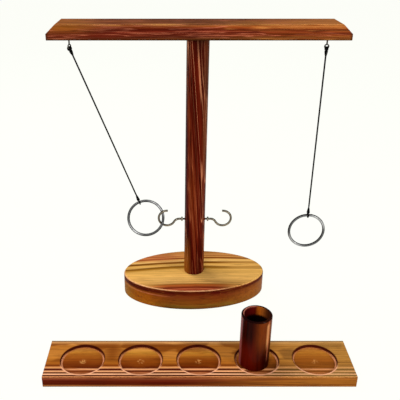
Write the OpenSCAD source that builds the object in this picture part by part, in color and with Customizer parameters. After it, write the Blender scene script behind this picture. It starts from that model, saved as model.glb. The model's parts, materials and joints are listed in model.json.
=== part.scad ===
// Ring toss stand with two strung rings, two hooks, and a board that holds a shot cup.
// The origin is on the table under the post, +Z is up, and the players stand at -Y and +Y.

/* [Base] */
// Length of the oval base plate
base_length = 167.4; // [150:0.2:190]
// Depth of the oval base plate, front to back
base_depth = 91; // [75:0.2:110]
// Thickness of the base plate
base_thickness = 24.8; // [22:0.2:30]
// Radius that rounds the base plate's upper edge
base_edge_round = 2.5; // [1:0.5:6]
// Turn of the base plate about the post, where its screw came tight
base_turn = 3; // [0:0.5:6]

/* [Post] */
// Diameter of the round post
post_diameter = 23.3; // [22:0.1:28]
// Length of the post between the base plate and the crossbar
post_length = 273.6; // [250:0.1:300]

/* [Crossbar] */
// Length of the crossbar along its underside
crossbar_length = 298; // [290:1:340]
// Depth of the crossbar, front to back
crossbar_depth = 40; // [34:0.5:46]
// Thickness of the crossbar
crossbar_thickness = 15.2; // [13:0.1:18]
// Length that the sloping cut takes off each upper end
end_cut_length = 9.5; // [4:0.5:14]
// Height of each sloping end cut
end_cut_height = 9; // [4:0.5:11]

/* [Hooks] */
// Height of the hooks' threaded shanks above the table
hook_height = 93.7; // [85:0.1:110]
// Diameter of the hooks' wire
hook_wire = 2.5; // [2:0.1:2.6]
// Radius of the hook's open bend, to the middle of its wire
hook_bend = 9.4; // [9:0.1:10.5]
// Radius of the shoulder bend that drops the hook below its shank
hook_shoulder = 6.54; // [6:0.02:7]
// Angle that the shoulder bend turns through
hook_shoulder_turn = 62.2; // [55:0.2:70]
// Angle that the open bend turns through
hook_open_turn = 248.2; // [235:0.2:255]

/* [Screw eyes] */
// Distance from the post to each screw eye
eye_offset = 130; // [125:1:135]
// Outer diameter of a screw eye's ring
eye_diameter = 5.4; // [5.2:0.1:6]
// Diameter of a screw eye's wire
eye_wire = 1.3; // [1:0.1:1.4]
// Distance from the crossbar's underside to the bottom of a screw eye
eye_drop = 11.9; // [11:0.1:14]
// Turn of the left screw eye about its shank, where its thread came tight
left_eye_turn = 60; // [40:1:80]

/* [Rings] */
// Outer diameter of each ring
ring_diameter = 43; // [42:0.2:44]
// Diameter of the rings' wire
ring_wire = 3; // [2.6:0.1:3.1]
// Backward lean of the ring that is caught on the left hook
caught_ring_lean = 38; // [37:0.5:39]
// Turn of the caught ring in its own plane, between its string and its top
caught_ring_turn = 22.5; // [21:0.5:24]

/* [String] */
// Diameter of the cord
cord_diameter = 1.7; // [1.4:0.1:1.8]
// Diameter of the whipped knots
knot_diameter = 4.2; // [3.4:0.1:4.6]

/* [Shot board] */
// Length of the shot board
board_length = 300; // [290:1:340]
// Depth of the shot board, front to back
board_depth = 54; // [49:0.1:60]
// Thickness of the shot board
board_thickness = 12.4; // [9:0.1:16]
// Distance from the post to the board's middle
board_distance = 143.6; // [120:0.1:220]
// Number of round recesses
recess_count = 5; // [5:1:5]
// Distance from one recess to the next
recess_pitch = 57.3; // [54:0.1:59]
// Diameter of each recess at its rim
recess_diameter = 43.4; // [42:0.2:46]
// Depth of each recess
recess_depth = 3; // [2.5:0.1:4]
// How far in front of the board's middle line the recesses lie
recess_forward = 1.6; // [0:0.1:3]

/* [Shot cup] */
// Outer diameter of the cup
cup_diameter = 29.5; // [27:0.5:37]
// Height of the cup
cup_height = 57.5; // [45:0.5:65]
// Diameter of the cup's bore
cup_bore = 24; // [20:0.5:24.5]
// Depth of the cup's bore
cup_bore_depth = 50; // [30:0.5:50]
// Recess that the cup stands in, counted from the left
cup_recess = 4; // [4:1:4]
// How far left of its recess's middle the cup stands
cup_offset = 3; // [0:0.1:5]

/* [Hidden] */
$fn = 96;

// Clearance round a screw in its pilot hole, and between cord and metal
screw_clearance = 0.05;
cord_clearance = 0.35;
swivel_gap = 0.3;
cut = 1;

// Edges
wood_edge = 1;
post_edge = 0.6;

// Heights on the stand
crossbar_bottom = base_thickness + post_length;

// Screw through the base plate, from beneath
base_screw_root = 1.6;
base_screw_crest = 2.2;
base_screw_shank = 2.2;
base_screw_head = 4.4;
base_screw_head_height = 2.6;
base_screw_sunk = 1.2;
base_screw_length = 48;
base_screw_pitch = 2;

// Double-ended screw between the post and the crossbar
dowel_screw_root = 1.7;
dowel_screw_crest = 2.4;
dowel_screw_in_post = 16;
dowel_screw_in_crossbar = 10;
dowel_screw_pitch = 1.8;

// Hook and eye threads
hook_thread_depth = 8;
hook_thread_pitch = 1.25;
hook_thread_root = 0.85;
hook_collar_start = 14;
hook_collar_end = 15.6;
hook_collar_radius = 2.5;
hook_shank_end = 18;
bead_extra = 0.02;
bead_gap = 0.05;
bead_gap_angle = 0.3;
eye_thread_length = 9;
eye_thread_pitch = 1;
eye_thread_root = 0.55;
eye_shank = 0.8;

// Centre lines of the round wire shapes
hook_radius = hook_wire / 2;
eye_radius = eye_wire / 2;
eye_bend = (eye_diameter - eye_wire) / 2;
eye_bottom_height = crossbar_bottom - eye_drop + eye_radius;
eye_height = eye_bottom_height + eye_bend;
ring_radius = ring_wire / 2;
ring_bend = (ring_diameter - ring_wire) / 2;
cord_radius = cord_diameter / 2;
eye_loop_bend = eye_radius + cord_clearance + cord_radius;
ring_loop_bend = ring_radius + cord_clearance + cord_radius;

// Routes of the two strings, from the knot at the eye to the knot at the ring
right_route = [
    [130, 0, 281.5], [130, 0, 270], [130, 0, 258.5], [130, 0, 247],
    [130, 0, 235.5], [130, 0, 224], [130, 0, 212.5], [130, 0, 201],
    [130, 0, 189.5], [130, 0, 178], [130, 0, 166.5], [130, 0, 155],
    [130, 0, 143.5], [130, 0, 132], [130, 0, 120.5], [130, 0, 109]
];
left_route = [
    [-127.7, 0.4, 281.4], [-123.7, 1.1, 270.6], [-119.7, 1.8, 259.8], [-115.7, 2.5, 249],
    [-111.7, 3.2, 238.2], [-107.7, 3.9, 227.4], [-103.7, 4.6, 216.6], [-99.7, 5.3, 205.8],
    [-95.7, 6, 195], [-91.7, 6.7, 184.2], [-87.7, 7.4, 173.4], [-83.7, 8.1, 162.6],
    [-79.7, 8.8, 151.8], [-75.7, 9.5, 141], [-71.7, 10.2, 130.2], [-67.7, 10.9, 119.4]
];
cord_sides = 8;
cord_ring_spacing = 3 * cord_diameter;

// Knots, and where the rings hang under them
ring_knot_length = 10.6;
right_ring_wire = right_route[len(right_route) - 1] - [0, 0, ring_knot_length];
left_string_way = unit(left_route[len(left_route) - 1] - left_route[0]);
left_ring_wire = left_route[len(left_route) - 1] + ring_knot_length * left_string_way;
left_eye_wire = [-eye_offset, 0, eye_bottom_height];
right_eye_wire = [eye_offset, 0, eye_bottom_height];

// Recess and cup details
recess_wall = 1.5;
recess_cove = recess_depth - recess_wall;
drill_mark_radius = 1.2;
drill_mark_depth = 0.8;
recess_floor = board_thickness - recess_depth;
cup_rest_gap = 0.02;
cup_foot = 0.8;
cup_rim_round = 0.8;

function unit(v) = v / norm(v);

// Middle of one recess along X and Y
function recess_middle(number) = [
    (number - (recess_count + 1) / 2) * recess_pitch,
    -board_distance - recess_forward
];

// Route points, with more between them so that no stretch is longer than the spacing
function finer(route, spacing) = concat(
    [for (i = [0:len(route) - 2])
        let (steps = ceil(norm(route[i + 1] - route[i]) / spacing))
        for (k = [0:steps - 1]) route[i] + (route[i + 1] - route[i]) * k / steps],
    [route[len(route) - 1]]
);

// Direction of a path at one of its points
function path_way(path, i) = unit(path[min(i + 1, len(path) - 1)] - path[max(i - 1, 0)]);

// One ring of points round a path
function path_ring(centre, way, radius, sides) =
    let (across = unit(cross(way, [0, 1, 0])), up = cross(way, across))
    [for (k = [0:sides - 1]) centre + radius * (cos(360 * k / sides) * across + sin(360 * k / sides) * up)];

// A closed tube swept along a route
module swept_tube(route, radius, sides) {
    path = finer(route, cord_ring_spacing);
    last = len(path) - 1;
    points = [for (i = [0:last]) each path_ring(path[i], path_way(path, i), radius, sides)];
    walls = [for (i = [0:last - 1], k = [0:sides - 1])
        [i * sides + k, i * sides + (k + 1) % sides, (i + 1) * sides + (k + 1) % sides, (i + 1) * sides + k]];
    first_cap = [for (k = [sides - 1:-1:0]) k];
    last_cap = [for (k = [0:sides - 1]) last * sides + k];
    polyhedron(points = points, faces = concat([first_cap], walls, [last_cap]));
}

// Puts +Z of what is drawn along a direction, from a point
module aim(from, way) {
    translate(from)
        rotate([0, acos(way[2] / norm(way)), atan2(way[1], way[0])])
            children();
}

// A full ring of round wire about Z
module wire_ring(bend, wire_radius) {
    rotate_extrude()
        translate([bend, 0])
            circle(r = wire_radius, $fn = 48);
}

// A bend of round wire about Z, from one angle through another
module wire_bend(bend, wire_radius, from_angle, turn) {
    rotate([0, 0, from_angle])
        rotate_extrude(angle = turn)
            translate([bend, 0])
                circle(r = wire_radius, $fn = 48);
}

// Half outline of a thread: sharp ridges on a core
function thread_outline(root, crest, length, pitch) = concat(
    [[0, 0], [root, 0]],
    [for (i = [0:floor(length / pitch) - 1]) each [[crest, (i + 0.5) * pitch], [root, (i + 1) * pitch]]],
    [[root, length], [0, length]]
);

// A thread as a row of ridges, with its pointed tip at the top
module thread(root, crest, length, pitch, tip = 0) {
    rotate_extrude()
        polygon(thread_outline(root, crest, length, pitch));
    if (tip > 0) {
        translate([0, 0, length])
            cylinder(h = tip, r1 = root, r2 = root / 4);
    }
}

// A rectangle with rounded corners, from true arcs
module rounded_rectangle(width, height, radius) {
    translate([-width / 2 + radius, -height / 2])
        square([width - 2 * radius, height]);
    translate([-width / 2, -height / 2 + radius])
        square([width, height - 2 * radius]);
    for (x = [-1, 1], y = [-1, 1]) {
        translate([x * (width / 2 - radius), y * (height / 2 - radius)])
            circle(r = radius);
    }
}

// A board along X whose long edges are eased, with its underside at z = 0
module eased_board(length, depth, thickness) {
    translate([-length / 2, 0, thickness / 2])
        rotate([90, 0, 90])
            linear_extrude(length)
                rounded_rectangle(depth, thickness, wood_edge);
}

// Half outline of the base plate as a disc of the same length, carried past the underside
module base_outline() {
    half = base_length / 2;
    translate([0, -cut])
        square([half - base_edge_round, base_thickness + cut]);
    translate([0, -cut])
        square([half, base_thickness - base_edge_round + cut]);
    translate([half - base_edge_round, base_thickness - base_edge_round])
        circle(r = base_edge_round);
}

module base_plate() {
    hole = base_screw_shank + screw_clearance;
    head = base_screw_head + screw_clearance;
    color("goldenrod")
        difference() {
            rotate([0, 0, base_turn])
                scale([1, base_depth / base_length, 1])
                    rotate_extrude()
                        base_outline();
            translate([-base_length, -base_length, -2 * cut])
                cube([2 * base_length, 2 * base_length, 2 * cut]);
            translate([0, 0, -cut])
                cylinder(h = base_thickness + 2 * cut, r = hole);
            translate([0, 0, -cut])
                cylinder(h = base_screw_sunk + cut, r = head);
            translate([0, 0, base_screw_sunk])
                cylinder(h = base_screw_head_height, r1 = head, r2 = hole);
        }
}

module post() {
    radius = post_diameter / 2;
    hook_hole = hook_radius + screw_clearance;
    color("saddlebrown")
        difference() {
            union() {
                translate([0, 0, base_thickness])
                    cylinder(h = post_edge, r1 = radius - post_edge, r2 = radius);
                translate([0, 0, base_thickness + post_edge])
                    cylinder(h = post_length - post_edge, r = radius);
            }
            translate([0, 0, base_thickness - cut])
                cylinder(
                    h = base_screw_sunk + base_screw_length + 2 - base_thickness + cut,
                    r = base_screw_crest + screw_clearance
                );
            translate([0, 0, crossbar_bottom - dowel_screw_in_post - 1])
                cylinder(h = dowel_screw_in_post + 1 + cut, r = dowel_screw_crest + screw_clearance);
            for (side = [0, 180]) {
                rotate([0, 0, side])
                    translate([radius - hook_thread_depth - 0.5, 0, hook_height])
                        rotate([0, 90, 0])
                            cylinder(h = hook_thread_depth + 0.5 + cut, r = hook_hole);
            }
        }
}

// Outline of the crossbar seen from the front, standing on its underside
module crossbar_outline() {
    half = crossbar_length / 2;
    polygon([
        [-half, 0],
        [half, 0],
        [half, crossbar_thickness - end_cut_height],
        [half - end_cut_length, crossbar_thickness],
        [-half + end_cut_length, crossbar_thickness],
        [-half, crossbar_thickness - end_cut_height]
    ]);
}

module crossbar() {
    color("sienna")
        difference() {
            intersection() {
                translate([0, 0, crossbar_bottom])
                    eased_board(crossbar_length + 2 * cut, crossbar_depth, crossbar_thickness);
                translate([0, crossbar_depth / 2 + cut, crossbar_bottom])
                    rotate([90, 0, 0])
                        linear_extrude(crossbar_depth + 2 * cut)
                            crossbar_outline();
            }
            translate([0, 0, crossbar_bottom - cut])
                cylinder(h = dowel_screw_in_crossbar + 1 + cut, r = dowel_screw_crest + screw_clearance);
            for (x = [-eye_offset, eye_offset]) {
                translate([x, 0, crossbar_bottom - cut])
                    cylinder(h = eye_thread_length + 1.5 + cut, r = eye_shank + screw_clearance);
            }
        }
}

module base_screw() {
    shank_top = base_thickness - 4;
    color("silver")
        union() {
            translate([0, 0, base_screw_sunk])
                difference() {
                    cylinder(h = base_screw_head_height, r1 = base_screw_head, r2 = base_screw_shank);
                    translate([0, 0, -cut])
                        for (turn = [0, 90]) {
                            rotate([0, 0, turn])
                                translate([-2, -0.5, 0])
                                    cube([4, 1, 1.5 + cut]);
                        }
                }
            translate([0, 0, base_screw_sunk + base_screw_head_height])
                cylinder(h = shank_top - base_screw_sunk - base_screw_head_height, r = base_screw_shank);
            translate([0, 0, shank_top])
                thread(
                    base_screw_root,
                    base_screw_crest,
                    base_screw_sunk + base_screw_length - shank_top - 4,
                    base_screw_pitch,
                    4
                );
        }
}

// One threaded end of the dowel screw, with its tip at the given length
module dowel_screw_end(length) {
    tip = 3;
    thread(dowel_screw_root, dowel_screw_crest, length - tip, dowel_screw_pitch, tip);
}

module dowel_screw() {
    color("silver")
        translate([0, 0, crossbar_bottom])
            union() {
                dowel_screw_end(dowel_screw_in_crossbar);
                rotate([180, 0, 0])
                    dowel_screw_end(dowel_screw_in_post);
            }
}

// A screw eye under the crossbar, with its ring facing the player before it is turned
module screw_eye(turn) {
    tip = 2;
    shank_bottom = eye_height + eye_bend - eye_radius / 2;
    rotate([0, 0, turn])
        union() {
            translate([0, 0, eye_height])
                rotate([90, 0, 0])
                    wire_ring(eye_bend, eye_radius);
            translate([0, 0, shank_bottom])
                cylinder(h = crossbar_bottom - shank_bottom, r = eye_shank);
            translate([0, 0, crossbar_bottom])
                thread(eye_thread_root, eye_shank, eye_thread_length - tip, eye_thread_pitch, tip);
        }
}

module left_screw_eye() {
    color("silver")
        translate([-eye_offset, 0, 0])
            screw_eye(left_eye_turn);
}

module right_screw_eye() {
    color("silver")
        translate([eye_offset, 0, 0])
            screw_eye(0);
}

// A bead that joins two stretches of the hook's wire, a hair thicker than the wire
module wire_bead() {
    sphere(r = hook_radius + bead_extra, $fn = 48);
}

// The right-hand hook: threaded shank, collar, shoulder bend and open bend, in the XZ plane
module hook() {
    surface = post_diameter / 2;
    tip = 2;
    thread_length = hook_collar_start - (surface - hook_thread_depth) - tip;
    join_angle = 90 - hook_shoulder_turn;
    shoulder = [hook_shank_end, 0, -hook_shoulder];
    outward = [cos(join_angle), 0, sin(join_angle)];
    bend = shoulder + (hook_shoulder + hook_bend) * outward;
    translate([0, 0, hook_height])
        union() {
            translate([hook_collar_start, 0, 0])
                rotate([0, -90, 0])
                    thread(hook_thread_root, hook_radius, thread_length, hook_thread_pitch, tip);
            translate([hook_collar_start, 0, 0])
                rotate([0, 90, 0])
                    cylinder(h = hook_collar_end - hook_collar_start, r = hook_collar_radius);
            translate([hook_collar_end, 0, 0])
                rotate([0, 90, 0])
                    cylinder(h = hook_shank_end - hook_collar_end - bead_gap, r = hook_radius);
            translate([hook_shank_end, 0, 0])
                wire_bead();
            translate(shoulder)
                rotate([90, 0, 0])
                    wire_bend(
                        hook_shoulder,
                        hook_radius,
                        join_angle + bead_gap_angle,
                        hook_shoulder_turn - 2 * bead_gap_angle
                    );
            translate(shoulder + hook_shoulder * outward)
                wire_bead();
            translate(bend)
                rotate([90, 0, 0])
                    wire_bend(
                        hook_bend,
                        hook_radius,
                        180 + join_angle + bead_gap_angle,
                        hook_open_turn - bead_gap_angle
                    );
        }
}

module left_hook() {
    color("silver")
        mirror([1, 0, 0])
            hook();
}

module right_hook() {
    color("silver")
        hook();
}

// A turn of cord round a wire that runs along X, with the wire at the origin
module cord_turn(loop_bend) {
    rotate([0, 90, 0])
        wire_ring(loop_bend, cord_radius);
}

// A whipped knot along +Z, between two distances from the wire it is tied to
module knot(start, end) {
    radius = knot_diameter / 2;
    bulge = start + (end - start) / 3;
    rotate_extrude()
        polygon([
            [0, start],
            [radius * 0.6, start],
            [radius, (start + bulge) / 2],
            [radius, bulge],
            [cord_radius, end],
            [0, end]
        ]);
}

module left_eye_loop() {
    knot_end = norm(left_route[0] - left_eye_wire);
    color("black")
        union() {
            translate(left_eye_wire)
                rotate([0, 0, left_eye_turn])
                    cord_turn(eye_loop_bend);
            aim(left_eye_wire, left_route[0] - left_eye_wire)
                knot(eye_loop_bend, knot_end);
        }
}

module left_string() {
    color("black")
        swept_tube(left_route, cord_radius, cord_sides);
}

module left_ring_loop() {
    color("black")
        union() {
            translate(left_ring_wire)
                rotate([-caught_ring_lean, 0, 0])
                    rotate([0, -caught_ring_turn, 0])
                        cord_turn(ring_loop_bend);
            aim(left_ring_wire, -left_string_way)
                knot(ring_loop_bend, ring_knot_length);
        }
}

module left_ring() {
    color("gainsboro")
        translate(left_ring_wire)
            rotate([-caught_ring_lean, 0, 0])
                rotate([0, -caught_ring_turn, 0])
                    translate([0, 0, -ring_bend])
                        rotate([90, 0, 0])
                            wire_ring(ring_bend, ring_radius);
}

module right_eye_loop() {
    color("black")
        translate(right_eye_wire)
            cord_turn(eye_loop_bend);
}

module right_eye_knot() {
    color("black")
        aim(right_eye_wire, [0, 0, -1])
            knot(eye_loop_bend + cord_radius + swivel_gap, right_eye_wire[2] - right_route[0][2]);
}

module right_string() {
    color("black")
        swept_tube(right_route, cord_radius, cord_sides);
}

module right_ring_loop() {
    color("black")
        translate(right_ring_wire)
            union() {
                cord_turn(ring_loop_bend);
                knot(ring_loop_bend, ring_knot_length - swivel_gap);
            }
}

module right_ring() {
    color("gainsboro")
        translate(right_ring_wire - [0, 0, ring_bend])
            rotate([90, 0, 0])
                wire_ring(ring_bend, ring_radius);
}

// The space that one recess takes out of the board
module recess() {
    floor_radius = recess_diameter / 2 - recess_cove;
    union() {
        translate([0, 0, board_thickness - recess_wall])
            cylinder(h = recess_wall + cut, r = recess_diameter / 2);
        translate([0, 0, recess_floor])
            cylinder(h = recess_cove, r1 = floor_radius, r2 = recess_diameter / 2);
        translate([0, 0, recess_floor - drill_mark_depth])
            cylinder(h = drill_mark_depth, r1 = 0.2, r2 = drill_mark_radius);
    }
}

module shot_board() {
    color("peru")
        difference() {
            translate([0, -board_distance, 0])
                eased_board(board_length, board_depth, board_thickness);
            for (number = [1:recess_count]) {
                translate(recess_middle(number))
                    recess();
            }
        }
}

module shot_cup() {
    radius = cup_diameter / 2;
    bore = cup_bore / 2;
    middle = recess_middle(cup_recess);
    color("maroon")
        translate([middle.x - cup_offset, middle.y, recess_floor + cup_rest_gap])
            rotate_extrude()
                polygon([
                    [0, 0],
                    [radius - cup_foot, 0],
                    [radius, cup_foot],
                    [radius, cup_height - cup_rim_round],
                    [radius - cup_rim_round, cup_height],
                    [bore + cup_rim_round / 2, cup_height],
                    [bore, cup_height - cup_rim_round / 2],
                    [bore, cup_height - cup_bore_depth + 2],
                    [bore - 2, cup_height - cup_bore_depth],
                    [0, cup_height - cup_bore_depth]
                ]);
}

base_plate();
post();
crossbar();
base_screw();
dowel_screw();
left_screw_eye();
right_screw_eye();
left_hook();
right_hook();
left_eye_loop();
left_string();
left_ring_loop();
left_ring();
right_eye_loop();
right_eye_knot();
right_string();
right_ring_loop();
right_ring();
shot_board();
shot_cup();
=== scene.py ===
"""Ring toss stand with two strung rings, and a shot board with its cup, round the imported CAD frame."""

import json
import math

import bmesh
import bpy
from mathutils import Matrix, Vector


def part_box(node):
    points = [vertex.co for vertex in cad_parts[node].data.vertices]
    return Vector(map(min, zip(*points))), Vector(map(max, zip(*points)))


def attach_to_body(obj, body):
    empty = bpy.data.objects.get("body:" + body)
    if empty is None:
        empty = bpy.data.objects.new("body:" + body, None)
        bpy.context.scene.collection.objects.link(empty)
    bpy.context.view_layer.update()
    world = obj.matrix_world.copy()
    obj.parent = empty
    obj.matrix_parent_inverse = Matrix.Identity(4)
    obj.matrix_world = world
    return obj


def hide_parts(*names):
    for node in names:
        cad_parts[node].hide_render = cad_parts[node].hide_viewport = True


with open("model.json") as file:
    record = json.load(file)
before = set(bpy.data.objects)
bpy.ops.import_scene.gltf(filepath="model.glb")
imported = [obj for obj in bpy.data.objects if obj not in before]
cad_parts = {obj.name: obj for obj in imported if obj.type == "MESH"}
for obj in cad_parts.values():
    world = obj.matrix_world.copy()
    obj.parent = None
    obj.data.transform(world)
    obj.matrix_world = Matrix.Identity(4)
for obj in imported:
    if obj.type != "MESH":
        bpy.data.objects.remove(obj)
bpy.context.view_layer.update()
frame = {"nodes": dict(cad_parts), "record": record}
MM = 0.001


def srgb(red, green, blue):
    """A colour given as 0-255 sRGB, as the linear RGBA that shaders take."""

    def linear(value):
        value /= 255
        return value / 12.92 if value <= 0.04045 else ((value + 0.055) / 1.055) ** 2.4

    return (linear(red), linear(green), linear(blue), 1.0)


def grey(value):
    """A grey as linear RGBA, which may be brighter than white."""
    return (value, value, value, 1.0)


def size_of(node):
    """(low corner, high corner, middle) of a CAD node."""
    low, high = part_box(node)
    return low, high, (low + high) / 2


def depth_of(node):
    """Size of a CAD node along Y."""
    low, high, _ = size_of(node)
    return high.y - low.y


# ---------------------------------------------------------------- camera

CAMERA_LEFT = 0.0265
CAMERA_DISTANCE = 0.598
CAMERA_HEIGHT = 0.4003
CAMERA_TILT_DOWN = math.radians(25.3)
CAMERA_LENS_MM = 52.4
CAMERA_SHIFT = 0.0705  # of the sensor's width, towards the right


def make_camera():
    """A camera left of the post that looks straight back and down, with its lens shifted sideways."""
    data = bpy.data.cameras.new("studio_camera")
    data.sensor_width = 36
    data.lens = CAMERA_LENS_MM
    data.shift_x = CAMERA_SHIFT
    data.clip_start = 0.01
    data.clip_end = 50
    camera = bpy.data.objects.new("studio_camera", data)
    camera.location = (-CAMERA_LEFT, -CAMERA_DISTANCE, CAMERA_HEIGHT)
    camera.rotation_euler = (math.pi / 2 - CAMERA_TILT_DOWN, 0, 0)
    bpy.context.scene.collection.objects.link(camera)
    bpy.context.scene.camera = camera


make_camera()

# ---------------------------------------------------------------- mesh helpers


def link_mesh(name, verts, faces, smooth=True):
    """A new object from lists of points and faces, in the row frame."""
    mesh = bpy.data.meshes.new(name)
    mesh.from_pydata([tuple(v) for v in verts], [], faces)
    mesh.update()
    if smooth:
        mesh.polygons.foreach_set("use_smooth", [True] * len(mesh.polygons))
    obj = bpy.data.objects.new(name, mesh)
    bpy.context.scene.collection.objects.link(obj)
    return obj


def frames_along(path, closed=False):
    """A tangent and two cross directions at each point of a path, without twist."""
    count = len(path)
    frames = []
    side = None
    for i in range(count):
        before = path[i - 1] if closed or i > 0 else path[0]
        after = path[(i + 1) % count] if closed or i < count - 1 else path[-1]
        tangent = (after - before).normalized()
        if side is None:
            side = tangent.orthogonal().normalized()
        side = (side - tangent * side.dot(tangent)).normalized()
        frames.append((tangent, side, tangent.cross(side)))
    return frames


def full_turn(points):
    """Angles evenly spaced round a full turn."""
    return [2 * math.pi * k / points for k in range(points)]


def turned(side, up, angle):
    """The unit direction at an angle from side towards up."""
    return math.cos(angle) * side + math.sin(angle) * up


def strand_section(radius, strands, angle):
    """Radius of a cord's cross-section at an angle: round lobes, one for each strand."""
    lobe = abs(math.cos(strands * angle / 2))
    return radius * (0.94 + 0.06 * lobe ** 0.6)


def skinned(name, rings, closed=False):
    """A mesh skin over rings of points, capped at both ends unless it closes on itself."""
    points = len(rings[0])
    faces = []
    for i in range(len(rings) if closed else len(rings) - 1):
        low, high = i * points, (i + 1) % len(rings) * points
        for k in range(points):
            after = (k + 1) % points
            faces.append((low + k, low + after, high + after, high + k))
    if not closed:
        faces.append(tuple(reversed(range(points))))
        faces.append(tuple((len(rings) - 1) * points + k for k in range(points)))
    return link_mesh(name, [point for ring in rings for point in ring], faces)


def laid_cord(name, path, radius, lay, strands=3, points=18, closed=False):
    """A mesh tube whose lobed section turns once in every lay, as laid cord does."""
    frames = frames_along(path, closed)
    lengths = [0.0]
    for a, b in zip(path, path[1:]):
        lengths.append(lengths[-1] + (b - a).length)
    total = lengths[-1] + ((path[0] - path[-1]).length if closed else 0)
    turns = max(1, round(total / lay)) if closed else total / lay
    rings = []
    for centre, (_, side, up), along in zip(path, frames, lengths):
        twist = 2 * math.pi * turns * along / total
        ring = []
        for angle in full_turn(points):
            reach = strand_section(radius, strands, angle + twist)
            ring.append(centre + reach * turned(side, up, angle))
        rings.append(ring)
    return skinned(name, rings, closed)


def evenly(points, step):
    """Points along straight stretches, no further apart than step."""
    out = []
    for a, b in zip(points, points[1:]):
        pieces = max(1, math.ceil((b - a).length / step))
        out += [a.lerp(b, k / pieces) for k in range(pieces)]
    return out + [points[-1]]


def joined(name, objects):
    """One object, with the name given, in place of several."""
    mesh = bmesh.new()
    for obj in objects:
        mesh.from_mesh(obj.data)
    data = bpy.data.meshes.new(name)
    mesh.to_mesh(data)
    mesh.free()
    for obj in objects:
        bpy.data.objects.remove(obj)
    whole = bpy.data.objects.new(name, data)
    bpy.context.scene.collection.objects.link(whole)
    return whole


# ---------------------------------------------------------------- cords

# Diameters of the cord and of a knot, and the length in which the cord's strands turn once
CORD = 1.7 * MM
CORD_LAY = 4.6 * MM
KNOT = 4.2 * MM

# A knot's two ends, measured from the middle of an eye's wire, and a string's end from its ring's wire
EYE_KNOT_TOP = 1.6 * MM
EYE_KNOT_END = 8.6 * MM
KNOT_TO_WIRE = 10.6 * MM
KNOT_OFF_RING = 0.4 * MM

# Radii of the wires; the right ring hangs square to Y, so its depth is its wire's diameter
EYE_WIRE = 0.65 * MM
HOOK_WIRE = 1.25 * MM
RING_WIRE = depth_of("right_ring") / 2

# The left eye's turn about its shank, and the caught ring's lean and its turn in its own plane
LEFT_EYE_TURN = math.radians(60)
CAUGHT = Matrix.Rotation(math.radians(-38), 3, "X") @ Matrix.Rotation(math.radians(-22.5), 3, "Y")

# How far apart the points of the strings' meshes are
STRING_STEP = 0.35 * MM

ACROSS = Vector((1, 0, 0))
DOWN = Vector((0, 0, -1))

RIGHT_ROUTE = [
    (0.1300, 0, 0.2815), (0.1300, 0, 0.2700), (0.1300, 0, 0.2585), (0.1300, 0, 0.2470),
    (0.1300, 0, 0.2355), (0.1300, 0, 0.2240), (0.1300, 0, 0.2125), (0.1300, 0, 0.2010),
    (0.1300, 0, 0.1895), (0.1300, 0, 0.1780), (0.1300, 0, 0.1665), (0.1300, 0, 0.1550),
    (0.1300, 0, 0.1435), (0.1300, 0, 0.1320), (0.1300, 0, 0.1205), (0.1300, 0, 0.1090),
]
LEFT_ROUTE = [
    (-0.1277, 0.0004, 0.2814), (-0.1237, 0.0011, 0.2706), (-0.1197, 0.0018, 0.2598),
    (-0.1157, 0.0025, 0.2490), (-0.1117, 0.0032, 0.2382), (-0.1077, 0.0039, 0.2274),
    (-0.1037, 0.0046, 0.2166), (-0.0997, 0.0053, 0.2058), (-0.0957, 0.0060, 0.1950),
    (-0.0917, 0.0067, 0.1842), (-0.0877, 0.0074, 0.1734), (-0.0837, 0.0081, 0.1626),
    (-0.0797, 0.0088, 0.1518), (-0.0757, 0.0095, 0.1410), (-0.0717, 0.0102, 0.1302),
    (-0.0677, 0.0109, 0.1194),
]


def knot(name, start, end, turns):
    """A whipped knot: cord wound tightly round a core, fat at its start and tapering to the cord."""
    way = (end - start).normalized()
    side = way.orthogonal().normalized()
    up = way.cross(side)
    length = (end - start).length
    wound = 0.34 * CORD
    points = 20
    steps = turns * points
    layers = 14

    def reach(share):
        """Radius of the winding's centre line at a share of the knot's length."""
        rounding = 0.62 + 0.38 * math.sin(math.pi / 2 * min(1, share / 0.16))
        return (CORD + (KNOT - CORD) * (1 - share) ** 0.9) / 2 * rounding - wound

    def core_ring(share):
        radius = reach(share) + 0.3 * wound
        middle = start + way * length * share
        return [middle + radius * turned(side, up, angle) for angle in full_turn(points)]

    path = []
    for i in range(steps + 1):
        share = i / steps
        angle = 2 * math.pi * turns * share
        middle = start + way * (wound + (length - 2 * wound) * share)
        path.append(middle + reach(share) * turned(side, up, angle))
    winding = laid_cord(name + "_winding", path, wound, CORD_LAY / 2, points=10)
    core = skinned(name + "_core", [core_ring(i / layers) for i in range(layers + 1)])
    return joined(name, [winding, core])


def cord_turn(name, centre, across, down, wire):
    """One turn of cord hugging a wire that runs along across at the centre."""
    third = across.cross(down)
    slack = 0.05 * MM
    bend = wire + CORD / 2 + slack
    path = [centre + bend * turned(down, third, angle) for angle in full_turn(48)]
    return laid_cord(name, path, CORD / 2, CORD_LAY, points=12, closed=True)


def eye_turns(name, middle, across):
    """Two turns side by side round the bottom of a screw eye, whose plane holds across and Z."""
    turns = []
    for way in (-1, 1):
        centre = middle + way * CORD / 2 * across
        turns.append(cord_turn(f"{name}_{way}", centre, across, DOWN, EYE_WIRE))
    return joined(name, turns)


def eye_knot(name, wire_middle, way):
    """The knot under a screw eye, along the string's way from the middle of the eye's wire."""
    return knot(name, wire_middle + way * EYE_KNOT_TOP, wire_middle + way * EYE_KNOT_END, 6)


def ring_knot(name, wire_middle, way, string_end):
    """The knot above a ring, from just off its wire to the end of the string."""
    return knot(name, wire_middle + way * (RING_WIRE + KNOT_OFF_RING), string_end, 8)


def vectors(route):
    """A route's points as vectors."""
    return [Vector(p) for p in route]


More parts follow.
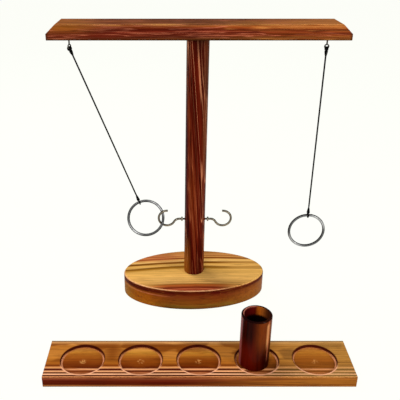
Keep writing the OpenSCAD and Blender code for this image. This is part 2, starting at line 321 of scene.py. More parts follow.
def right_pieces(route, path):
    """The right string, plumb from its eye to its ring, and what is tied at its two ends."""
    _, _, eye_wire = size_of("right_eye_loop")
    pieces = {
        "right_eye_turn": eye_turns("right_eye_turn", eye_wire, ACROSS),
        "right_upper_knot": eye_knot("right_upper_knot", eye_wire, DOWN),
        "right_cord_strand": laid_cord("right_cord_strand", path, CORD / 2, CORD_LAY),
    }
    _, high, middle = size_of("right_ring")
    ring_top = Vector((middle.x, middle.y, high.z - RING_WIRE))
    turn = cord_turn("right_lower_turn", ring_top, ACROSS, DOWN, RING_WIRE)
    tied = ring_knot("right_lower_winding", ring_top, -DOWN, route[-1])
    pieces["right_lower_knot"] = joined("right_lower_knot", [turn, tied])
    return pieces


def left_pieces(route, path):
    """The left string, slanting down to the ring on the hook, and what is tied at its two ends."""
    _, _, eye = size_of("left_screw_eye")
    _, _, right_eye_wire = size_of("right_eye_loop")
    eye_wire = Vector((eye.x, 0, right_eye_wire.z))
    turn = eye_turns("left_upper_turn", eye_wire, turned(ACROSS, Vector((0, 1, 0)), LEFT_EYE_TURN))
    tied = eye_knot("left_upper_winding", eye_wire, (route[0] - eye_wire).normalized())
    pieces = {
        "left_upper_knot": joined("left_upper_knot", [turn, tied]),
        "left_cord_strand": laid_cord("left_cord_strand", path, CORD / 2, CORD_LAY),
    }
    way = (route[-1] - route[0]).normalized()
    ring_wire = route[-1] + way * KNOT_TO_WIRE
    turn = cord_turn("left_lower_turn", ring_wire, CAUGHT @ ACROSS, CAUGHT @ DOWN, RING_WIRE)
    tied = ring_knot("left_lower_winding", ring_wire, -way, route[-1])
    pieces["left_lower_knot"] = joined("left_lower_knot", [turn, tied])
    return pieces


def attach(pieces):
    """Each cord piece rides its body in place of a CAD node."""
    rides = {
        "right_eye_turn": ("right_loop", "right_eye_loop"),
        "right_upper_knot": ("right_cord", "right_eye_knot"),
        "right_cord_strand": ("right_cord", "right_string"),
        "right_lower_knot": ("right_tie", "right_ring_loop"),
        "left_upper_knot": ("left_cord", "left_eye_loop"),
        "left_cord_strand": ("left_cord", "left_string"),
        "left_lower_knot": ("left_cord", "left_ring_loop"),
    }
    for name, (body, node) in rides.items():
        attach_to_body(pieces[name], body)
        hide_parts(node)


def make_cords():
    """Both strings with their loops and knots, in place of the CAD's plain ones."""
    right, left = vectors(RIGHT_ROUTE), vectors(LEFT_ROUTE)
    right_path, left_path = evenly(right, STRING_STEP), evenly(left, STRING_STEP)
    pieces = {**right_pieces(right, right_path), **left_pieces(left, left_path)}
    attach(pieces)
    return pieces


cords = make_cords()

# ---------------------------------------------------------------- shader helpers


class Shader:
    """A material's node tree, with short calls for the nodes used here."""

    def __init__(self, name):
        self.material = bpy.data.materials.new(name)
        self.material.use_nodes = True
        self.tree = self.material.node_tree
        self.tree.nodes.clear()
        self.surface = self.add("ShaderNodeBsdfPrincipled")
        output = self.add("ShaderNodeOutputMaterial")
        self.tree.links.new(self.surface.outputs[0], output.inputs[0])
        coordinates = self.add("ShaderNodeTexCoord")
        self.place = coordinates.outputs["Object"]
        self.facing = coordinates.outputs["Normal"]

    def add(self, kind, inputs=None, **settings):
        """A node with its own settings, and with inputs given as values or as other nodes' outputs."""
        node = self.tree.nodes.new(kind)
        for key, value in settings.items():
            setattr(node, key, value)
        for key, value in (inputs or {}).items():
            self.feed(node.inputs[key], value)
        return node

    def feed(self, socket, value):
        if isinstance(value, bpy.types.NodeSocket):
            self.tree.links.new(value, socket)
        else:
            socket.default_value = value

    def set(self, **values):
        """Sets the surface's own sockets, with _ for a space in their names."""
        for key, value in values.items():
            self.feed(self.surface.inputs[key.replace("_", " ")], value)

    def math(self, operation, a, b=0.0):
        return self.add("ShaderNodeMath", {0: a, 1: b}, operation=operation).outputs[0]

    def vector_math(self, operation, a, b):
        return self.add("ShaderNodeVectorMath", {0: a, 1: b}, operation=operation)

    def distance(self, a, b):
        """The length of a line whose parts along two axes are a and b."""
        squares = self.math("ADD", self.math("MULTIPLY", a, a), self.math("MULTIPLY", b, b))
        return self.math("SQRT", squares)

    def axes(self, vector):
        node = self.add("ShaderNodeSeparateXYZ", {0: vector})
        return node.outputs[0], node.outputs[1], node.outputs[2]

    def vector(self, x, y, z):
        return self.add("ShaderNodeCombineXYZ", {0: x, 1: y, 2: z}).outputs[0]

    def step(self, value, low, high):
        """0 below low and 1 above high, smoothly between; high may be the smaller."""
        return self.add(
            "ShaderNodeMapRange",
            {"Value": value, "From Min": low, "From Max": high},
            interpolation_type="SMOOTHSTEP",
        ).outputs[0]

    def spread(self, value, low, high):
        """A value of 0 to 1, moved into the range from low to high."""
        return self.add("ShaderNodeMapRange", {"Value": value, "To Min": low, "To Max": high}).outputs[0]

    def near(self, value, centre, half_width):
        """1 at the centre, falling to 0 at half_width away."""
        away = self.math("ABSOLUTE", self.math("SUBTRACT", value, centre))
        return self.step(away, half_width, 0.0)

    def both(self, *shares):
        """The product of several masks and plain factors."""
        whole = shares[0]
        for share in shares[1:]:
            whole = self.math("MULTIPLY", whole, share)
        return whole

    def mix(self, share, a, b, blend="MIX"):
        node = self.add("ShaderNodeMix", {0: share, 6: a, 7: b}, data_type="RGBA", blend_type=blend)
        return node.outputs[2]

    def tint(self, colour, tone, *shares):
        """A colour covered with a 0-255 sRGB tone, by the product of several shares."""
        return self.mix(self.both(*shares), colour, srgb(*tone))

    def ramp(self, value, stops):
        """A colour ramp from (position, linear RGBA) stops."""
        node = self.add("ShaderNodeValToRGB", {0: value})
        elements = node.color_ramp.elements
        while len(elements) > 1:
            elements.remove(elements[-1])
        elements[0].position, elements[0].color = stops[0]
        for position, colour in stops[1:]:
            elements.new(position).color = colour
        return node.outputs[0]

    def tones(self, value, stops):
        """A colour ramp from (position, 0-255 sRGB colour) stops."""
        return self.ramp(value, [(position, srgb(*colour)) for position, colour in stops])

    def noise(self, scales, detail=3.0, roughness=0.55, shift=0.0, place=None):
        """Noise with its own number of grains a metre along X, Y and Z."""
        x, y, z = self.axes(place or self.place)
        vector = self.vector(
            self.math("MULTIPLY", x, scales[0]),
            self.math("MULTIPLY", y, scales[1]),
            self.math("MULTIPLY", z, scales[2]),
        )
        if shift:
            vector = self.vector_math("ADD", vector, (shift,) * 3).outputs[0]
        settings = {"Vector": vector, "Scale": 1.0, "Detail": detail, "Roughness": roughness}
        return self.add("ShaderNodeTexNoise", settings).outputs[0]

    def streaks(self, scales, width, shift, place=None):
        """Long thin lines that come and go, drawn where a stretched noise crosses its middle value."""
        lines = self.near(self.noise(scales, 1.0, 0.5, shift, place), 0.5, width)
        shown = self.step(self.noise([s / 3 for s in scales], 1.0, 0.5, shift + 11.3, place), 0.40, 0.56)
        return self.both(lines, shown)

    def bump(self, height, strength, distance):
        settings = {"Height": height, "Strength": strength, "Distance": distance}
        self.set(Normal=self.add("ShaderNodeBump", settings).outputs[0])


def dress(node, material):
    """Puts a material on every slot of a CAD node."""
    obj = frame["nodes"][node]
    if not obj.material_slots:
        obj.data.materials.append(material)
    for slot in obj.material_slots:
        slot.material = material


# ---------------------------------------------------------------- wood

WOOD_SPECULAR = 0.03
VARNISH = srgb(255, 196, 120)
OPEN_PORE = (40, 14, 4)


def bands(shader, across, low, high, stops, shift, sway=0.0022):
    """Colour bands across a board, from low to high in metres, whose edges sway along the grain."""
    drift = shader.noise((5, 20, 20), detail=2, shift=shift)
    swayed = shader.math("MULTIPLY", shader.math("SUBTRACT", drift, 0.5), sway * 2)
    moved = shader.math("ADD", across, swayed)
    share = shader.math("DIVIDE", shader.math("SUBTRACT", moved, low), high - low)
    return shader.tones(share, stops)


def finish_wood(shader, colour, grain, roughness, relief, contrast=0.2, place=None):
    """Fine fibres, open pores, satin varnish and relief, common to every wood."""
    fibres = shader.noise(grain, detail=5, roughness=0.7, place=place)
    pores = shader.step(shader.noise([s * 2.3 for s in grain], 2, 0.5, 3.1, place), 0.60, 0.70)
    shade = shader.ramp(
        shader.step(fibres, 0.32, 0.68),
        [(0.0, grey(1 - contrast * 1.6)), (0.5, grey(1)), (1.0, grey(1 + contrast))],
    )
    toned = shader.mix(1.0, colour, shade, "MULTIPLY")
    toned = shader.tint(toned, OPEN_PORE, pores, 0.45)
    gloss = shader.spread(fibres, roughness - 0.08, roughness + 0.14)
    shader.set(Base_Color=toned, Roughness=gloss)
    shader.set(Specular_IOR_Level=WOOD_SPECULAR, Specular_Tint=VARNISH)
    shader.bump(shader.math("SUBTRACT", fibres, shader.both(pores, 0.6)), 0.45, relief)


def crossbar_tones(s, x, y, z, low, high):
    """The bands on the crossbar's front and top, and the stains that cross both."""
    front = bands(
        s, z, low.z, high.z,
        [
            (0.00, (50, 26, 8)), (0.06, (66, 34, 10)), (0.13, (98, 54, 26)), (0.22, (84, 32, 14)),
            (0.33, (106, 38, 22)), (0.45, (78, 10, 4)), (0.54, (122, 42, 26)), (0.62, (88, 16, 8)),
            (0.73, (96, 24, 10)), (0.83, (134, 60, 22)), (0.92, (150, 76, 30)), (0.965, (150, 82, 34)),
            (1.00, (146, 82, 34)),
        ],
        1.7, 0.0014,
    )
    top = bands(
        s, y, low.y, high.y,
        [
            (0.00, (150, 86, 36)), (0.06, (156, 92, 36)), (0.16, (128, 66, 18)), (0.30, (150, 86, 34)),
            (0.42, (110, 54, 14)), (0.56, (142, 74, 28)), (0.72, (104, 50, 16)), (0.86, (92, 50, 18)),
            (0.94, (60, 34, 12)), (1.00, (44, 26, 10)),
        ],
        4.2, 0.004,
    )
    worn = s.step(s.noise((18, 60, 60), 2, shift=5.3), 0.48, 0.60)
    top = s.tint(top, (172, 98, 52), worn, 0.35)
    # Painted shade: the top darker towards its middle.
    top = s.tint(top, (84, 44, 12), s.near(x, 0.005, 0.10), 0.80)
    top = s.tint(top, (180, 116, 56), s.step(x, 0.055, 0.12), 0.35)
    _, _, up = s.axes(s.facing)
    level = s.step(up, 0.45, 0.75)
    colour = s.mix(level, front, top)
    red = s.step(s.noise((7, 70, 70), 2, shift=8.3), 0.46, 0.62)
    colour = s.tint(colour, (92, 16, 10), red, s.step(x, 0.09, -0.02), 0.55)
    return s.tint(colour, (134, 66, 24), s.step(x, -0.02, 0.13), s.step(level, 0.6, 0.2), 0.55)


def crossbar_material():
    """Red-brown stain with fine pale, dark and golden lines, a painted highlight along the front edge and
    dark ends.
    """
    low, high, _ = size_of("crossbar")
    s = Shader("crossbar_torched_wood")
    x, y, z = s.axes(s.place)
    colour = crossbar_tones(s, x, y, z, low, high)
    # Painted highlight along the rounded front top edge, broken up by noise and stronger at the left.
    front_edge_highlight = s.both(s.near(y, low.y + 0.0022, 0.0042), s.step(z, high.z - 0.0022, high.z - 0.0006))
    highlight_gaps = s.step(s.noise((24, 300, 300), 2, shift=12.1), 0.34, 0.56)
    highlight_stronger_left = s.math("ADD", s.both(s.step(x, 0.030, -0.025), 0.40), 0.45)
    colour = s.tint(colour, (222, 156, 84), front_edge_highlight, highlight_gaps, highlight_stronger_left)
    left_corner = s.both(s.step(x, -0.085, -0.125), s.step(z, high.z - 0.012, high.z - 0.002))
    colour = s.tint(colour, (178, 108, 36), left_corner, 0.55)
    colour = s.tint(colour, (186, 104, 74), s.streaks((22, 560, 560), 0.06, 2.4), 0.7)
    colour = s.tint(colour, (62, 10, 8), s.streaks((14, 420, 420), 0.07, 6.4), 0.70)
    golden_lines = s.both(s.streaks((16, 640, 640), 0.08, 15.2), s.step(x, -0.01, 0.05))
    colour = s.tint(colour, (198, 130, 64), golden_lines, 0.6)
    # Painted shade: darker towards the left part of the crossbar.
    colour = s.tint(colour, (66, 24, 8), s.step(x, 0.060, -0.030), 0.26)
    colour = s.tint(colour, (48, 22, 6), s.step(z, low.z + 0.0019, low.z + 0.0006), 0.75)
    sawn_ends = s.step(s.math("ABSOLUTE", x), high.x - 0.0035, high.x)
    colour = s.tint(colour, (56, 30, 16), sawn_ends, 0.75)
    finish_wood(s, colour, (14, 520, 520), 0.42, 0.00025)
    return s.material


def post_material():
    """Dark mahogany whose light and dark lines lean a little off the post's axis."""
    low, high, middle = size_of("post")
    s = Shader("post_dark_mahogany")
    x, y, z = s.axes(s.place)
    slant = s.math("MULTIPLY", s.math("SUBTRACT", z, middle.z), 0.075)
    leaning = s.vector(s.math("ADD", x, slant), y, z)
    colour = s.tones(
        s.noise((120, 120, 4), 2, 0.5, 5.0, leaning),
        [
            (0.34, (46, 0, 0)), (0.44, (62, 4, 1)), (0.52, (78, 12, 4)), (0.60, (94, 24, 8)),
            (0.70, (112, 44, 14)),
        ],
    )
    # Painted light: the upper right side of the post lighter.
    lit_upper_right = s.both(s.step(x, 0.004, 0.0100), s.step(z, middle.z - 0.06, middle.z + 0.04))
    colour = s.tint(colour, (150, 88, 40), lit_upper_right, 0.25)
    # Painted shade down the post's left edge.
    colour = s.tint(colour, (36, 0, 8), s.step(x, -0.0085, -0.0110), 0.7)
    dark_lines = s.streaks((330, 330, 5), 0.07, 9.1, leaning)
    colour = s.tint(colour, (34, 0, 0), dark_lines, 0.85)
    wide_lines = s.streaks((190, 190, 3), 0.030, 1.2, leaning)
    colour = s.tint(colour, (206, 132, 92), wide_lines, 0.95)
    fine_lines = s.streaks((400, 400, 5), 0.045, 4.7, leaning)
    colour = s.tint(colour, (160, 84, 50), fine_lines, 0.55)
    # Darker down the middle of the post's top, just under the crossbar.
    dark_top_middle = s.both(s.step(z, high.z - 0.034, high.z - 0.004), s.near(x, 0.001, 0.010))
    colour = s.tint(colour, (34, 4, 3), dark_top_middle, 0.85)
    dim_top_right = s.both(s.step(z, high.z - 0.100, high.z - 0.050), s.step(x, -0.001, 0.004))
    colour = s.tint(colour, (44, 8, 4), dim_top_right, 0.45)
    golden_foot = s.both(s.step(z, low.z + 0.058, low.z + 0.004), s.step(x, -0.003, -0.0105))
    colour = s.tint(colour, (166, 96, 26), golden_foot, 0.8)
    finish_wood(s, colour, (620, 620, 16), 0.36, 0.0002, 0.14, leaning)
    return s.material


def base_top(s, x, y, low, high):
    """The base plate's upper face: torched lines that slant at the left, over gold."""
    slanting = s.math("SUBTRACT", y, s.both(s.math("MINIMUM", x, 0.0), 0.10))
    top = bands(
        s, slanting, low.y, high.y,
        [
            (0.00, (214, 134, 92)), (0.030, (126, 40, 18)), (0.060, (188, 96, 58)),
            (0.085, (104, 26, 10)), (0.120, (150, 70, 30)), (0.150, (190, 98, 42)),
            (0.175, (134, 76, 20)), (0.20, (214, 158, 86)), (0.30, (224, 176, 100)),
            (0.42, (214, 162, 80)), (0.505, (212, 160, 78)), (0.54, (160, 108, 30)),
            (0.575, (118, 70, 6)), (0.60, (216, 164, 84)), (0.645, (212, 158, 76)),
            (0.665, (116, 64, 4)), (0.695, (128, 76, 10)), (0.715, (230, 182, 106)),
            (0.76, (214, 158, 80)), (0.78, (120, 58, 10)), (0.80, (132, 70, 20)),
            (0.82, (214, 152, 78)), (0.85, (164, 92, 40)), (0.87, (206, 144, 78)),
            (0.93, (180, 116, 56)), (0.97, (170, 124, 60)), (1.00, (120, 92, 44)),
        ],
        2.9, 0.0075,
    )
    red_back = s.both(s.step(x, 0.000, -0.045), s.near(y, high.y * 0.62, 0.017))
    top = s.tint(top, (194, 98, 58), red_back, 0.6)
    golden_ends = s.both(s.step(s.math("ABSOLUTE", x), 0.030, 0.066), s.step(y, -0.012, -0.030))
    top = s.tint(top, (214, 158, 80), golden_ends, 0.75)
    top = s.tint(top, (242, 184, 96), s.near(y, -0.016, 0.015), 0.65)
    return s.tint(top, (232, 176, 90), s.step(x, 0.020, 0.060), s.step(y, 0.030, 0.015), 0.40)


def base_side(s, x, y, z, low, high):
    """The base plate's edge: maroon under the rim, golden at both ends from painted light, with a painted
    highlight along its top and a dark seam.
    """
    # The top stops of these bands paint a highlight along the rounded upper edge.
    side = bands(
        s, z, low.z, high.z,
        [
            (0.00, (56, 40, 10)), (0.06, (96, 66, 16)), (0.16, (116, 80, 22)), (0.32, (118, 64, 14)),
            (0.52, (112, 52, 14)), (0.66, (104, 40, 14)), (0.78, (74, 10, 4)), (0.90, (66, 8, 4)),
            (0.945, (110, 44, 20)), (0.975, (232, 164, 112)), (1.00, (226, 160, 104)),
        ],
        6.1, 0.0022,
    )
    below_rim = s.step(z, high.z - 0.004, high.z - 0.009)
    # Painted light: the edge lighter and golden towards its left and right ends.
    side = s.tint(side, (166, 88, 10), s.step(x, -0.026, -0.060), below_rim, 0.75)
    side = s.tint(side, (150, 100, 20), s.step(x, -0.066, -0.080), below_rim, 0.7)
    lit_golden_right = s.both(s.step(x, 0.030, 0.078), s.step(z, high.z - 0.002, high.z - 0.008))
    side = s.tint(side, (164, 98, 36), lit_golden_right, 0.65)
    leaning = s.vector(x, y, s.math("ADD", z, s.math("MULTIPLY", x, 0.16)))
    clouds = s.step(s.noise((20, 20, 90), 3, shift=3.9, place=leaning), 0.42, 0.60)
    side = s.tint(side, (112, 42, 6), clouds, 0.35)
    left_seam = s.both(s.near(z, high.z - 0.0050, 0.0030), s.step(x, -0.030, -0.060), 0.85)
    right_seam = s.both(s.near(z, high.z - 0.0038, 0.0017), s.step(x, 0.030, 0.060), 0.75)
    side = s.tint(side, (66, 6, 2), s.math("MAXIMUM", left_seam, right_seam))
    under_seam = s.both(s.near(z, high.z - 0.0088, 0.0012), s.step(x, -0.020, -0.050))
    return s.tint(side, (206, 120, 84), under_seam, 0.45)


def base_material():
    """Torched pale wood: the plate's top and edge, with light along its rim at the left."""
    low, high, _ = size_of("base_plate")
    s = Shader("base_torched_wood")
    x, y, z = s.axes(s.place)
    _, _, up = s.axes(s.facing)
    side, top = base_side(s, x, y, z, low, high), base_top(s, x, y, low, high)
    colour = s.mix(s.step(up, 0.30, 0.80), side, top)
    lit_rim = s.both(s.step(up, 0.30, 0.55), s.step(up, 0.97, 0.85), s.step(x, 0.06, 0.01))
    colour = s.tint(colour, (238, 178, 124), lit_rim, 0.7)
    colour = s.tint(colour, (122, 66, 16), s.streaks((8, 380, 380), 0.05, 6.8), 0.45)
    finish_wood(s, colour, (13, 430, 430), 0.40, 0.00025, 0.12)
    return s.material


def recess_measures():
    """(radius, pitch, row's place along Y) of the board's recesses, from the record's mounts."""
    mounts = {m["name"]: m for m in frame["record"]["mounts"]}
    first, second = mounts["recess_1"], mounts["recess_2"]
    return first["dims"]["r_mm"] * MM, second["pos_m"][0] - first["pos_m"][0], first["pos_m"][1]


def board_top(s, x, y, low, high, middle, pitch):
    """The shot board's upper face: torched lines along the front, and smudges behind the middle."""
    top = bands(
        s, y, low.y, high.y,
        [
            (0.000, (150, 84, 40)), (0.010, (222, 146, 92)), (0.030, (66, 14, 2)),
            (0.050, (66, 14, 2)), (0.067, (250, 182, 134)), (0.082, (250, 182, 134)),
            (0.100, (66, 16, 4)), (0.122, (76, 24, 6)), (0.138, (244, 168, 112)),
            (0.156, (246, 174, 118)), (0.176, (84, 22, 6)), (0.212, (70, 16, 4)),
            (0.232, (228, 154, 96)), (0.256, (222, 146, 82)), (0.285, (120, 54, 10)),
            (0.315, (128, 60, 12)), (0.350, (168, 94, 26)), (0.450, (180, 108, 34)),
            (0.560, (190, 120, 46)), (0.700, (186, 116, 44)), (0.840, (176, 106, 36)),
            (0.900, (206, 140, 70)), (0.945, (218, 158, 98)), (0.975, (110, 76, 42)),
            (1.000, (84, 56, 30)),
        ],
        9.4, 0.0005,
    )
    smudge = s.step(s.noise((26, 44, 44), 2, shift=7.7), 0.46, 0.56)
    smudge = s.math("MAXIMUM", smudge, s.near(x, -1.5 * pitch, 0.018))
    behind = s.step(y, middle.y - 0.012, middle.y)
    off_back_edge = s.step(y, high.y - 0.0015, high.y - 0.0075)
    top = s.tint(top, (112, 46, 2), smudge, behind, off_back_edge, 0.75)
    return s.tint(top, (184, 144, 72), s.step(x, 0.00, 0.14), 0.42)


def board_front(s, x, z, low, high):
    """The shot board's front edge: dark red at the left, turning golden to the right."""
    front = bands(
        s, z, low.z, high.z,
        [
            (0.00, (58, 26, 12)), (0.07, (86, 46, 20)), (0.13, (156, 98, 52)), (0.20, (140, 80, 38)),
            (0.28, (76, 14, 0)), (0.50, (78, 14, 0)), (0.66, (96, 26, 8)), (0.80, (120, 52, 28)),
            (0.90, (150, 84, 50)), (0.97, (110, 50, 22)), (1.00, (100, 42, 16)),
        ],
        0.6, 0.0008,
    )
    front = s.tint(front, (168, 104, 34), s.step(x, -0.03, 0.12), 0.72)
    fine, broad = s.streaks((9, 700, 700), 0.09, 3.3), s.streaks((7, 420, 420), 0.07, 13.6)
    return s.tint(front, (92, 30, 6), s.math("MAXIMUM", fine, broad), 0.6)


def recess_floor(s, x, ahead, away, radius):
    """The colour inside a recess: bands across its floor, clouds, and a worn mark in the middle."""
    floor = s.tones(
        s.math("DIVIDE", s.math("ADD", ahead, radius), 2 * radius),
        [
            (0.00, (150, 84, 44)), (0.13, (190, 112, 68)), (0.17, (96, 32, 8)), (0.205, (96, 32, 8)),
            (0.225, (236, 160, 108)), (0.255, (236, 160, 108)), (0.285, (86, 24, 2)),
            (0.36, (96, 32, 2)), (0.48, (124, 54, 8)), (0.60, (144, 72, 16)), (0.70, (172, 102, 30)),
            (0.80, (200, 134, 46)), (0.90, (210, 144, 62)), (1.00, (196, 124, 60)),
        ],
    )
    clouds = s.step(s.noise((30, 80, 60), 3, shift=2.2), 0.44, 0.62)
    floor = s.tint(floor, (128, 58, 8), clouds, 0.6)
    floor = s.tint(floor, (180, 106, 34), s.step(x, 0.02, 0.12), 0.4)
    mark = s.both(s.step(away, 0.0045, 0.001), s.step(s.noise((600, 600, 600), 2), 0.44, 0.6))
    return s.tint(floor, (222, 156, 84), mark, 0.8)


def with_recesses(s, colour, x, y, z, high):
    """The board's colour with its round recesses, each drawn round the nearest one's middle."""
    radius, pitch, row_y = recess_measures()
    row = s.math("DIVIDE", x, pitch)
    beside = s.math("MULTIPLY", s.math("SUBTRACT", row, s.math("ROUND", row)), pitch)
    ahead = s.math("SUBTRACT", y, row_y)
    away = s.distance(beside, ahead)
    below = s.step(z, high.z - 0.0001, high.z - 0.0006)
    sunk = s.both(s.step(away, radius + 0.0004, radius - 0.0001), below)
    colour = s.mix(s.both(sunk, 0.92), colour, recess_floor(s, x, ahead, away, radius))
    # Painted light along the recess's cove, brightest at its near side.
    lit_cove = s.both(sunk, s.step(away, radius - 0.0022, radius - 0.0015))
    colour = s.tint(colour, (222, 148, 104), lit_cove, s.step(ahead, 0.022, -0.002), 0.95)
    colour = s.tint(colour, (170, 92, 54), lit_cove, s.step(ahead, 0.004, 0.020), 0.60)
    # Painted shade on the recess's inner wall, widest at the back.
    wall = s.both(sunk, s.step(away, radius - 0.0007, radius - 0.0002))
    shaded_back_wall = s.both(sunk, s.step(away, radius - 0.0013, radius - 0.0008), s.step(ahead, 0.006, 0.016))
    colour = s.tint(colour, (58, 2, 2), s.math("MAXIMUM", wall, shaded_back_wall), 0.95)
    dark_lip = s.both(s.near(away, radius + 0.0001, 0.0009), s.step(ahead, -0.014, -0.006))
    colour = s.tint(colour, (66, 8, 4), dark_lip, 0.85)
    # Painted highlight along the recess's near rim.
    rim = s.both(s.near(away, radius + 0.0006, 0.0012), s.step(z, high.z - 0.0010, high.z - 0.0002))
    return s.tint(colour, (246, 176, 134), rim, s.step(ahead, -0.006, -0.016), 0.95)


def board_material():
    """Torched pale wood: the board's top and front edge, with its recesses."""
    low, high, middle = size_of("shot_board")
    s = Shader("board_torched_wood")
    x, y, z = s.axes(s.place)
    _, _, up = s.axes(s.facing)
    _, pitch, _ = recess_measures()
    front, top = board_front(s, x, z, low, high), board_top(s, x, y, low, high, middle, pitch)
    colour = s.mix(s.step(up, 0.35, 0.8), front, top)
    colour = with_recesses(s, colour, x, y, z, high)
    finish_wood(s, colour, (14, 470, 470), 0.38, 0.00025, 0.13)
    return s.material


def cup_outside(s, beside, z, low, high):
    """The cup's lacquered wall, with painted light and highlights at the right and a painted highlight
    down its left edge.
    """
    streaked = s.noise((210, 210, 9), 3, 0.6, 4.4)
    colour = s.tones(streaked, [(0.35, (24, 0, 0)), (0.52, (42, 1, 0)), (0.66, (62, 8, 0))])
    # Painted light: the upper right of the wall lighter.
    warm = s.both(s.step(beside, -0.006, 0.005), s.step(z, high.z - 0.044, high.z - 0.016))
    colour = s.tint(colour, (118, 50, 8), warm, 0.75)
    low_left = s.both(s.step(beside, 0.003, -0.007), s.step(z, low.z + 0.042, low.z + 0.018))
    colour = s.tint(colour, (98, 12, 2), low_left, 0.6)
    upper = s.both(s.step(z, high.z - 0.036, high.z - 0.022), s.step(z, high.z - 0.002, high.z - 0.006))
    colour = s.tint(colour, (214, 150, 92), s.near(beside, 0.0100, 0.0022), upper, 0.9)
    thin_highlight = s.both(s.near(beside, 0.0104, 0.0012), s.step(z, low.z + 0.006, low.z + 0.020))
    colour = s.tint(colour, (176, 96, 66), thin_highlight, 0.6)
    # Painted highlight down the left edge.
    return s.tint(colour, (160, 84, 84), s.step(beside, -0.0132, -0.0142), 0.6)


def cup_bore(s, colour, beside, away, z, high):
    """The cup's bore: painted dark as shade, but for a painted lit inner wall below the rim."""
    bore = s.step(away, 0.0126, 0.0123)
    # Painted shade inside the bore.
    colour = s.tint(colour, (14, 2, 2), bore)
    lit = s.tones(
        s.step(beside, -0.012, 0.012),
        [
            (0.0, (60, 4, 6)), (0.30, (84, 10, 6)), (0.52, (90, 16, 4)), (0.76, (196, 100, 22)),
            (0.9, (170, 90, 30)), (1.0, (70, 30, 12)),
        ],
    )
    return s.mix(s.both(bore, s.step(z, high.z - 0.0112, high.z - 0.0078)), colour, lit)


def cup_rim(s, colour, beside, ahead, away, z, high):
    """The cup's rim painted near black as shade, deepest at the back left, with a thin painted highlight
    inside it at the back left.
    """
    rim = s.both(s.step(z, high.z - 0.0012, high.z - 0.0005), s.step(away, 0.0120, 0.0124))
    back_left = s.both(s.step(beside, 0.004, -0.002), s.step(ahead, -0.004, 0.002))
    # Painted shade on the rim, deepest at the back left; then a thin painted highlight inside it.
    colour = s.tint(colour, (20, 3, 4), rim, 0.92)
    colour = s.tint(colour, (16, 2, 4), rim, back_left, 0.95)
    inner = s.both(s.near(away, 0.0125, 0.0007), s.step(z, high.z - 0.0016, high.z - 0.0008))
    return s.tint(colour, (206, 126, 104), inner, back_left, 0.9)


def cup_material():
    """Dark red lacquer, a little glossier than the other woods."""
    low, high, middle = size_of("shot_cup")
    s = Shader("cup_lacquered_mahogany")
    x, y, z = s.axes(s.place)
    beside, ahead = s.math("SUBTRACT", x, middle.x), s.math("SUBTRACT", y, middle.y)
    away = s.distance(beside, ahead)
    colour = cup_outside(s, beside, z, low, high)
    colour = cup_bore(s, colour, beside, away, z, high)
    colour = cup_rim(s, colour, beside, ahead, away, z, high)
    finish_wood(s, colour, (700, 700, 30), 0.34, 0.0001, 0.10)
    s.set(Coat_Weight=0.04, Coat_Roughness=0.12)
    return s.material


# ---------------------------------------------------------------- metal and cord


def metal_material(name, bright, dark, roughness, wire, middle=(0, 0, 0), axis=(0, 1, 0), radius=None):
    """Plated wire, with a painted highlight along its front and back crests and painted dark reflections
    down its flanks.

    The wire's centre line lies in the plane through middle that is square to axis.
    A ring, which has a radius, has its painted highlight brightest at its upper right and lower left.
    """
    s = Shader(name)
    offset = s.vector_math("SUBTRACT", s.place, middle).outputs[0]
    height = s.vector_math("DOT_PRODUCT", offset, axis).outputs["Value"]
    crest = s.step(s.math("ABSOLUTE", height), 0.62 * wire, 0.96 * wire)
    clouds = s.step(s.noise((60, 60, 60), 1), 0.35, 0.65)
    scratches = s.noise((1500, 500, 900), 2, shift=2.5)
    # Painted highlight along the crests; the flanks keep the dark colour as a painted dark reflection.
    crest_highlight = s.both(crest, s.math("ADD", s.both(clouds, 0.35), 0.65))
    if radius:
        beside, _, above = s.axes(offset)
        glint = s.step(s.both(beside, above), 0.0, 0.4 * radius ** 2)
        crest_highlight = s.both(crest_highlight, s.math("ADD", s.both(glint, 0.75), 0.25))
    s.set(Base_Color=s.mix(crest_highlight, srgb(*dark), srgb(*bright)))
    s.set(Metallic=s.math("ADD", s.both(crest_highlight, 0.7), 0.3))
    s.set(Roughness=s.spread(scratches, roughness * 0.85, roughness * 1.2))
    s.set(Specular_IOR_Level=0.1)
    s.bump(scratches, 0.01, 0.00001)
    return s.material


def ring_material(name, node, turn):
    """The look of a ring whose plane is turned from facing the player."""
    low, high, _ = size_of("right_ring")
    _, _, middle = size_of(node)
    radius = (high.x - low.x) / 2 - RING_WIRE
    axis = turn @ Vector((0, 1, 0))
    return metal_material(name, (196, 196, 196), (9, 9, 8), 0.46, RING_WIRE, middle, axis, radius)


def cord_material():
    """Matt black braided cord, greyer where it is worn."""
    s = Shader("black_polyester_cord")
    fibre = s.noise((3800, 3800, 900), 3)
    worn = s.step(s.noise((300, 300, 300), 2, shift=1.9), 0.55, 0.75)
    colour = s.mix(fibre, srgb(2, 2, 2), srgb(9, 8, 8))
    s.set(Base_Color=s.tint(colour, (22, 20, 18), worn, 0.3))
    s.set(Roughness=0.8, Specular_IOR_Level=0.05)
    s.bump(fibre, 0.3, 0.00005)
    return s.material


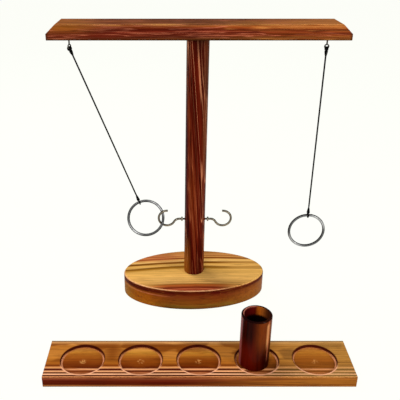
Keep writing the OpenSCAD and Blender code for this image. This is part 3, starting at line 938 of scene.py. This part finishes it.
def dress_all():
    """Every CAD node and every cord piece gets its material."""
    hook = metal_material("nickel_hook_wire", (156, 146, 126), (28, 22, 17), 0.34, HOOK_WIRE)
    eye = metal_material("nickel_eye_wire", (84, 80, 72), (12, 10, 9), 0.40, EYE_WIRE)
    zinc = metal_material("zinc_plate", (180, 184, 190), (110, 112, 116), 0.40, EYE_WIRE)
    looks = {
        "base_plate": base_material(),
        "post": post_material(),
        "crossbar": crossbar_material(),
        "shot_board": board_material(),
        "shot_cup": cup_material(),
        "left_ring": ring_material("bright_caught_wire", "left_ring", CAUGHT),
        "right_ring": ring_material("bright_ring_wire", "right_ring", Matrix.Identity(3)),
        "base_screw": zinc,
        "dowel_screw": zinc,
        "left_screw_eye": eye,
        "right_screw_eye": eye,
        "left_hook": hook,
        "right_hook": hook,
    }
    for node, material in looks.items():
        dress(node, material)
    cord = cord_material()
    for piece in cords.values():
        piece.data.materials.append(cord)


dress_all()

# ---------------------------------------------------------------- stage and light

FLOOR_HALF = 12.0
FLOOR_BELOW = 0.2 * MM


def make_floor():
    """A white floor that glows, just under the table plane."""
    corners = [(-1, -1), (1, -1), (1, 1), (-1, 1)]
    verts = [(x * FLOOR_HALF, y * FLOOR_HALF, -FLOOR_BELOW) for x, y in corners]
    floor = link_mesh("studio_floor", verts, [(0, 1, 2, 3)], smooth=False)
    s = Shader("studio_floor_white")
    s.set(
        Base_Color=(0.04, 0.04, 0.038, 1),
        Roughness=0.9,
        Specular_IOR_Level=0.0,
        Emission_Color=(0.99, 1.0, 0.945, 1),
        Emission_Strength=0.98,
    )
    floor.data.materials.append(s.material)


def soft_light(name, place, aim, width, height, power):
    """A rectangular light at a place, turned to its aim."""
    data = bpy.data.lights.new(name, "AREA")
    data.shape = "RECTANGLE"
    data.size, data.size_y = width, height
    data.energy = power
    light = bpy.data.objects.new(name, data)
    light.location = place
    light.rotation_euler = (Vector(aim) - Vector(place)).to_track_quat("-Z", "Y").to_euler()
    bpy.context.scene.collection.objects.link(light)


def make_lights():
    """A dim warm-white world with a key light behind, a fill in front and a strip at the right."""
    world = bpy.data.worlds.new("studio_world")
    world.use_nodes = True
    background = world.node_tree.nodes["Background"]
    background.inputs["Color"].default_value = (1.0, 0.99, 0.97, 1)
    background.inputs["Strength"].default_value = 0.16
    bpy.context.scene.world = world
    soft_light("back_key", (-0.50, 0.35, 1.10), (0, 0, 0.1), 0.6, 0.6, 10)
    soft_light("front_fill", (-0.45, -1.20, 0.80), (0, 0, 0.12), 0.5, 0.5, 10)
    soft_light("right_strip", (0.75, -0.60, 0.55), (0.05, -0.05, 0.08), 0.15, 0.5, 5)


make_floor()
make_lights()
bpy.context.scene.view_settings.view_transform = "Standard"
